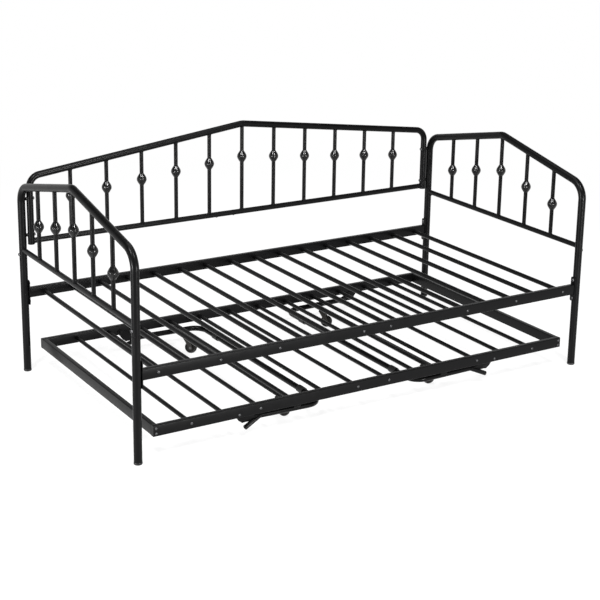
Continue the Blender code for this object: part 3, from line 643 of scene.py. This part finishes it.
def build_trundle_frame():
    rail, screws = bmesh.new(), bmesh.new()
    inner = TRUNDLE_Y - 2 * RAIL_HALF_DEPTH
    rounded_box(rail, (-TRUNDLE_X, inner, -RAIL_HALF_HEIGHT),
                (TRUNDLE_X, TRUNDLE_Y, RAIL_HALF_HEIGHT), RAIL_ROUND, 0)
    pivot_z = PIVOT_Z - TRUNDLE_RAIL_Z
    nut_y = EAR_Y[0] - SEAT_GAP
    for x in (-PIVOT_X, PIVOT_X):
        rod(rail, (x, nut_y - PIN_OUT, pivot_z), (x, inner + PIN_ROOT, pivot_z), PIN_R,
            edge=PIN_EDGE)
        turned(rail, (x, nut_y, pivot_z), -Y_AXIS, NUT_SECTION, NUT_SIDES)
        head(screws, (x, TRUNDLE_Y, pivot_z), Y_AXIS, SCREW, hex_reach)
    for x in TRUNDLE_SCREW_X:
        head(screws, (x, TRUNDLE_Y, 0), Y_AXIS, SCREW, cross_reach)
    for x in (-TRUNDLE_X + RAIL_HALF_DEPTH, TRUNDLE_X - RAIL_HALF_DEPTH):
        for z in (-CORNER_BOLT_RISE, CORNER_BOLT_RISE):
            head(screws, (x, TRUNDLE_Y, z), Y_AXIS, SCREW, hex_reach)
    rail = finish_mesh("trundle_rail", rail, PAINT)
    screws = finish_mesh("trundle_screws", screws, SCREW_STEEL)
    for face, turn in (("rear", 0), ("front", math.pi)):
        place = Matrix.Translation((0, TRUNDLE_BACK, TRUNDLE_RAIL_Z))
        place = place @ Matrix.Rotation(turn, 4, "Z")
        add_piece(f"trundle_beam_{face}", rail, "trundle",
                  [f"trundle_rail_{face}"], place)
        add_piece(f"trundle_screws_{face}", screws, "trundle", place=place)
    for side in ("left", "right"):
        low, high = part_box(f"trundle_end_rail_{side}")
        shape = bmesh.new()
        rounded_box(shape, low, high, RAIL_ROUND, 1)
        add_piece(f"trundle_end_{side}", finish_mesh(f"trundle_end_{side}", shape, PAINT),
                  "trundle", [f"trundle_end_rail_{side}"])
    build_slats("trundle_slat", TRUNDLE_SLATS, "trundle")


def build_caster_bars():
    half, reach, low_z, high_z = CASTER_BAR
    shape = bmesh.new()
    rounded_box(shape, (-half, -reach, low_z), (half, reach, high_z), RAIL_ROUND, 1)
    mesh = finish_mesh("caster_bar", shape, PAINT)
    for side, sign in (("left", -1), ("right", 1)):
        place = Matrix.Translation((sign * CASTER_X, TRUNDLE_BACK, 0))
        add_piece(f"caster_beam_{side}", mesh, "trundle",
                  [f"caster_bar_{side}"], place)


def build_casters():
    top = CASTER_BAR[2] - SEAT_GAP
    fork, axle, wheel, hub = bmesh.new(), bmesh.new(), bmesh.new(), bmesh.new()
    turned(fork, (0, 0, top), -Z_AXIS, SWIVEL_SECTION, TUBE_SIDES)
    rounded_box(fork, (CROWN_X[0], -CHEEK_OUT, top - CROWN_DROP[0]),
                (CROWN_X[1], CHEEK_OUT, top - CROWN_DROP[1]), CROWN_ROUND, 2, CROWN_EDGE,
                ROUND_STEPS)
    outline = [(x, top - CHEEK_DROP) for x in CHEEK_X]
    for i in range(BOSS_STEPS + 1):
        a = math.radians(BOSS_START + BOSS_SWEEP * i / BOSS_STEPS)
        outline.append((WHEEL_TRAIL + BOSS_R * math.cos(a), WHEEL_R + BOSS_R * math.sin(a)))
    for sign in (-1, 1):
        low, high = sorted((sign * CHEEK_IN, sign * CHEEK_OUT))
        loft(fork, [[Vector((x, y, z)) for x, z in outline] for y in (low, high)])
        turned(axle, (WHEEL_TRAIL, sign * CHEEK_OUT, WHEEL_R), (0, sign, 0), AXLE_SECTION)
    turned(wheel, (0, -WHEEL_HALF, 0), Y_AXIS, wheel_profile(), WHEEL_SIDES)
    inset, out = HUB_EDGE
    turned(hub, (0, -WHEEL_HALF, 0), Y_AXIS, [
        (HUB_R - inset, -out), (HUB_R, 0), (HUB_R, 2 * WHEEL_HALF),
        (HUB_R - inset, 2 * WHEEL_HALF + out)])
    fork = finish_mesh("caster_fork", fork, CASTER_STEEL)
    axle = finish_mesh("caster_axle", axle, SCREW_STEEL)
    wheel = finish_mesh("caster_wheel", wheel, TYRE)
    hub = finish_mesh("caster_hub", hub, PLASTIC)
    for corner, degrees in CASTER_ANGLES.items():
        face, side = corner.split("_")
        x = CASTER_X if side == "right" else -CASTER_X
        y = TRUNDLE_BACK + (CASTER_Y if face == "rear" else -CASTER_Y)
        place = Matrix.Translation((x, y, 0)) @ Matrix.Rotation(math.radians(degrees), 4, "Z")
        fork_body, wheel_body = f"caster_fork_{corner}", f"caster_wheel_{corner}"
        add_piece(f"fork_{corner}", fork, fork_body, [fork_body], place)
        add_piece(f"axle_{corner}", axle, fork_body, place=place)
        place = place @ Matrix.Translation((WHEEL_TRAIL, 0, WHEEL_R))
        add_piece(f"wheel_{corner}", wheel, wheel_body, [wheel_body], place)
        add_piece(f"hub_{corner}", hub, wheel_body, place=place)


def wheel_profile():
    """Half of the wheel's section, from its hub out over the rounded tread and back."""
    half = list(WHEEL_SECTION)
    return half + [(r, 2 * WHEEL_HALF - h) for r, h in reversed(half[:-1])]


def build_fold_legs():
    """U-shaped leg about its pivot, folded towards -X, with flattened arm ends."""
    shape, sleeves = bmesh.new(), bmesh.new()
    start = Vector((ARM_START[0], 0, ARM_START[1]))
    foot = Vector((FOOT_AT[0], 0, FOOT_AT[1]))
    along = (start - foot).normalized()
    round_end = foot + along * ((start - foot).length - FLAT_FROM)
    normal = Y_AXIS.cross(foot - start).normalized()
    out = Vector((0, ARM_Y, 0))
    bent_tube(shape, rounded_path([round_end - out, foot - out, foot + out, round_end + out],
                                  [FOLD_BEND_R, FOLD_BEND_R]), normal, FOLD_R)
    for sign in (-1, 1):
        side = Vector((0, sign * ARM_Y, 0))
        flat_arm_end(shape, round_end + side, along, sign)
        add_ear(shape, sign)
        root, tip = (Vector((x, sign * y, z)) + side for x, y, z in (STOP_ROOT, STOP_TIP))
        open_tube(shape, root, tip)
        centre = foot + side - Vector((0, sign * SLEEVE_INSET, 0))
        turned(sleeves, centre - Y_AXIS * SLEEVE_LENGTH / 2, Y_AXIS, [
            (FOLD_R - SLEEVE_BITE, 0), (SLEEVE_R - SLEEVE_EDGE, 0), (SLEEVE_R, SLEEVE_EDGE),
            (SLEEVE_R, SLEEVE_LENGTH - SLEEVE_EDGE), (SLEEVE_R - SLEEVE_EDGE, SLEEVE_LENGTH),
            (FOLD_R - SLEEVE_BITE, SLEEVE_LENGTH)], TUBE_SIDES)
    shape = finish_mesh("fold_leg", shape, PAINT)
    sleeves = finish_mesh("fold_leg_sleeves", sleeves, PLASTIC)
    for side, sign in (("right", 1), ("left", -1)):
        place = Matrix.Translation((sign * PIVOT_X, TRUNDLE_BACK, PIVOT_Z))
        place = place @ Matrix.Rotation(0 if sign > 0 else math.pi, 4, "Z")
        body = f"fold_leg_{side}"
        add_piece(f"swing_leg_{side}", shape, body, [body], place)
        add_piece(f"swing_sleeves_{side}", sleeves, body, place=place)


def flat_arm_end(shape, start, along, sign):
    """Tube end pressed flat, from round at its start to a thin tongue by the rail."""
    thin, tall_end = FLAT_HALF
    shift = sign * ((EAR_Y[0] + EAR_Y[1]) / 2 - ARM_Y)
    up = along.cross(Y_AXIS).normalized()
    if up.z < 0:
        up = -up
    sections = []
    for i in range(FLAT_STEPS + 1):
        t = i / FLAT_STEPS
        ease = t * t * (3 - 2 * t)
        wide = FOLD_R + (thin - FOLD_R) * ease
        tall = FOLD_R + (tall_end - FOLD_R) * ease
        centre = start + along * FLAT_LENGTH * t + Y_AXIS * shift * ease
        sections.append([centre + Y_AXIS * wide * math.cos(a) + up * tall * math.sin(a)
                         for a in (2 * math.pi * k / TUBE_SIDES for k in range(TUBE_SIDES))])
    loft(shape, sections)


def add_ear(shape, sign):
    """Flat plate round the pivot."""
    edge = []
    for i in range(EAR_STEPS + 1):
        a = math.radians(EAR_START + EAR_SWEEP * i / EAR_STEPS)
        edge.append((EAR_R * math.cos(a), EAR_R * math.sin(a)))
    edge += list(EAR_TAIL)
    centre_x = sum(x for x, _ in edge) / len(edge)
    centre_z = sum(z for _, z in edge) / len(edge)
    low, high = sorted((sign * EAR_Y[0], sign * EAR_Y[1]))
    sections = []
    for y, inset in ((low, EAR_INSET), (low + PLATE_EDGE, 1), (high - PLATE_EDGE, 1),
                     (high, EAR_INSET)):
        sections.append([Vector((centre_x + (x - centre_x) * inset, y,
                                 centre_z + (z - centre_z) * inset)) for x, z in edge])
    loft(shape, sections)


def open_tube(shape, root, tip):
    """Tube whose tip is open, with a bore that shows its wall."""
    axis = tip - root
    length = axis.length
    turned(shape, root, axis, [
        (STOP_R - EDGE, 0), (STOP_R, EDGE), (STOP_R, length - EDGE), (STOP_R - EDGE / 2, length),
        (STOP_BORE_R + EDGE / 2, length), (STOP_BORE_R, length - EDGE),
        (STOP_BORE_R, length - STOP_BORE_DEPTH)], TUBE_SIDES)


# ---- Floor, light, camera -------------------------------------------------------
CAMERA_PLACE = Vector((-2.9330, -4.6965, 2.1301))
CAMERA_YAW, CAMERA_PITCH, CAMERA_ROLL = 0.5548, 0.2811, 0.0152
PICTURE_WIDTH = 600
CAMERA_FOCAL = 1470.68     # in the unit of PICTURE_WIDTH, and so is CAMERA_DROP
CAMERA_DROP = 60
SENSOR = 36.0
AMBIENT = 0.40             # world's light on the object
CEILING = 0.12             # brightness seen overhead
CEILING_FROM_TO = (0.20, 0.60)
FLOOR_RADIUS = 40.0
FLOOR_FADE = (2.2, 4.0)
FLOOR_TONE = 0.22
FLOOR_GLOW = 0.82
FLOOR_SIDES = 96
LAMPS = (                  # name, place, aim, size, watts
    ("left_low", (-5.4, -1.0, 0.32), (0, 0, 0.45), (0.6, 0.6), 230),
    ("right_low", (0.78, -5.40, 0.32), (0, 0, 0.45), (0.5, 0.6), 200),
    ("left_high", (-2.58, -1.09, 4.0), (0, 0, 0.5), (0.5, 0.5), 130),
    ("right_high", (0.15, -2.80, 4.0), (0, 0, 0.5), (0.5, 0.5), 130),
    ("top_softbox", (0, 0.3, 3.4), (0, 0, 0), (3.2, 2.0), 40),
)


def add_camera():
    ahead = Vector((math.sin(CAMERA_YAW) * math.cos(CAMERA_PITCH),
                    math.cos(CAMERA_YAW) * math.cos(CAMERA_PITCH), -math.sin(CAMERA_PITCH)))
    right = Vector((math.cos(CAMERA_YAW), -math.sin(CAMERA_YAW), 0))
    up = right.cross(ahead)
    roll_c, roll_s = math.cos(CAMERA_ROLL), math.sin(CAMERA_ROLL)
    turn = Matrix((right * roll_c + up * roll_s, up * roll_c - right * roll_s, -ahead))
    data = bpy.data.cameras.new("camera")
    data.sensor_width = SENSOR
    data.lens = CAMERA_FOCAL / PICTURE_WIDTH * SENSOR
    data.shift_y = -CAMERA_DROP / PICTURE_WIDTH
    camera = bpy.data.objects.new("camera", data)
    bpy.context.scene.collection.objects.link(camera)
    camera.matrix_world = Matrix.Translation(CAMERA_PLACE) @ turn.transposed().to_4x4()
    bpy.context.scene.camera = camera


def add_light(name, place, target, size, power):
    data = bpy.data.lights.new(name, "AREA")
    data.shape = "RECTANGLE"
    data.size, data.size_y = size
    data.energy = power
    lamp = bpy.data.objects.new(name, data)
    bpy.context.scene.collection.objects.link(lamp)
    lamp.location = place
    lamp.visible_camera = False
    lamp.rotation_euler = (Vector(target) - Vector(place)).to_track_quat("-Z", "Y").to_euler()


def seen_ray(tree):
    """1 for rays that show the background: from the camera, off gloss and through glass."""
    path = tree.nodes.new("ShaderNodeLightPath")
    total = path.outputs["Is Camera Ray"]
    for ray in ("Is Glossy Ray", "Is Transmission Ray"):
        add = tree.nodes.new("ShaderNodeMath")
        add.operation = "MAXIMUM"
        tree.links.new(total, add.inputs[0])
        tree.links.new(path.outputs[ray], add.inputs[1])
        total = add.outputs[0]
    return total


def add_world():
    """White round the horizon and grey overhead where it shows, and an even, dimmer light."""
    world = bpy.data.worlds.new("studio")
    bpy.context.scene.world = world
    world.use_nodes = True
    tree = world.node_tree
    background = tree.nodes["Background"]
    where = tree.nodes.new("ShaderNodeTexCoord")
    split = tree.nodes.new("ShaderNodeSeparateXYZ")
    tree.links.new(where.outputs["Generated"], split.inputs["Vector"])
    height = add_range(tree, split.outputs["Z"], 0, 1, *CEILING_FROM_TO)
    seen = add_mix(tree, height, (1, 1, 1), (CEILING, CEILING, CEILING))
    lit = (AMBIENT, AMBIENT, AMBIENT)
    tree.links.new(add_mix(tree, seen_ray(tree), lit, seen), background.inputs["Color"])


def add_floor():
    """Pale floor: lit and shadowed round the object, plain white further out."""
    shape = bmesh.new()
    bmesh.ops.create_circle(shape, cap_ends=True, segments=FLOOR_SIDES, radius=FLOOR_RADIUS)
    material, tree, shader = node_tree("white_floor")
    shader.inputs["Roughness"].default_value = 1.0
    shader.inputs["Specular IOR Level"].default_value = 0.0
    shader.inputs["Emission Color"].default_value = (1, 1, 1, 1)
    where = tree.nodes.new("ShaderNodeTexCoord")
    length = tree.nodes.new("ShaderNodeVectorMath")
    length.operation = "LENGTH"
    tree.links.new(where.outputs["Object"], length.inputs[0])
    far = add_range(tree, length.outputs["Value"], 0, 1, *FLOOR_FADE)
    tint = add_mix(tree, far, (FLOOR_TONE, FLOOR_TONE, FLOOR_TONE), (0, 0, 0))
    tree.links.new(tint, shader.inputs["Base Color"])
    glow = add_range(tree, far, FLOOR_GLOW, 1, 0, 1)
    times = tree.nodes.new("ShaderNodeMath")
    times.operation = "MULTIPLY"
    tree.links.new(glow, times.inputs[0])
    tree.links.new(seen_ray(tree), times.inputs[1])
    tree.links.new(times.outputs[0], shader.inputs["Emission Strength"])
    floor = bpy.data.objects.new("floor", finish_mesh("floor", shape, material))
    bpy.context.scene.collection.objects.link(floor)


build_legs()
build_side_panels()
build_back_panel()
build_deck()
build_trundle_frame()
build_caster_bars()
build_casters()
build_fold_legs()
add_floor()
add_world()
for lamp in LAMPS:
    add_light(*lamp)
add_camera()
bpy.context.scene.view_settings.view_transform = "Standard"
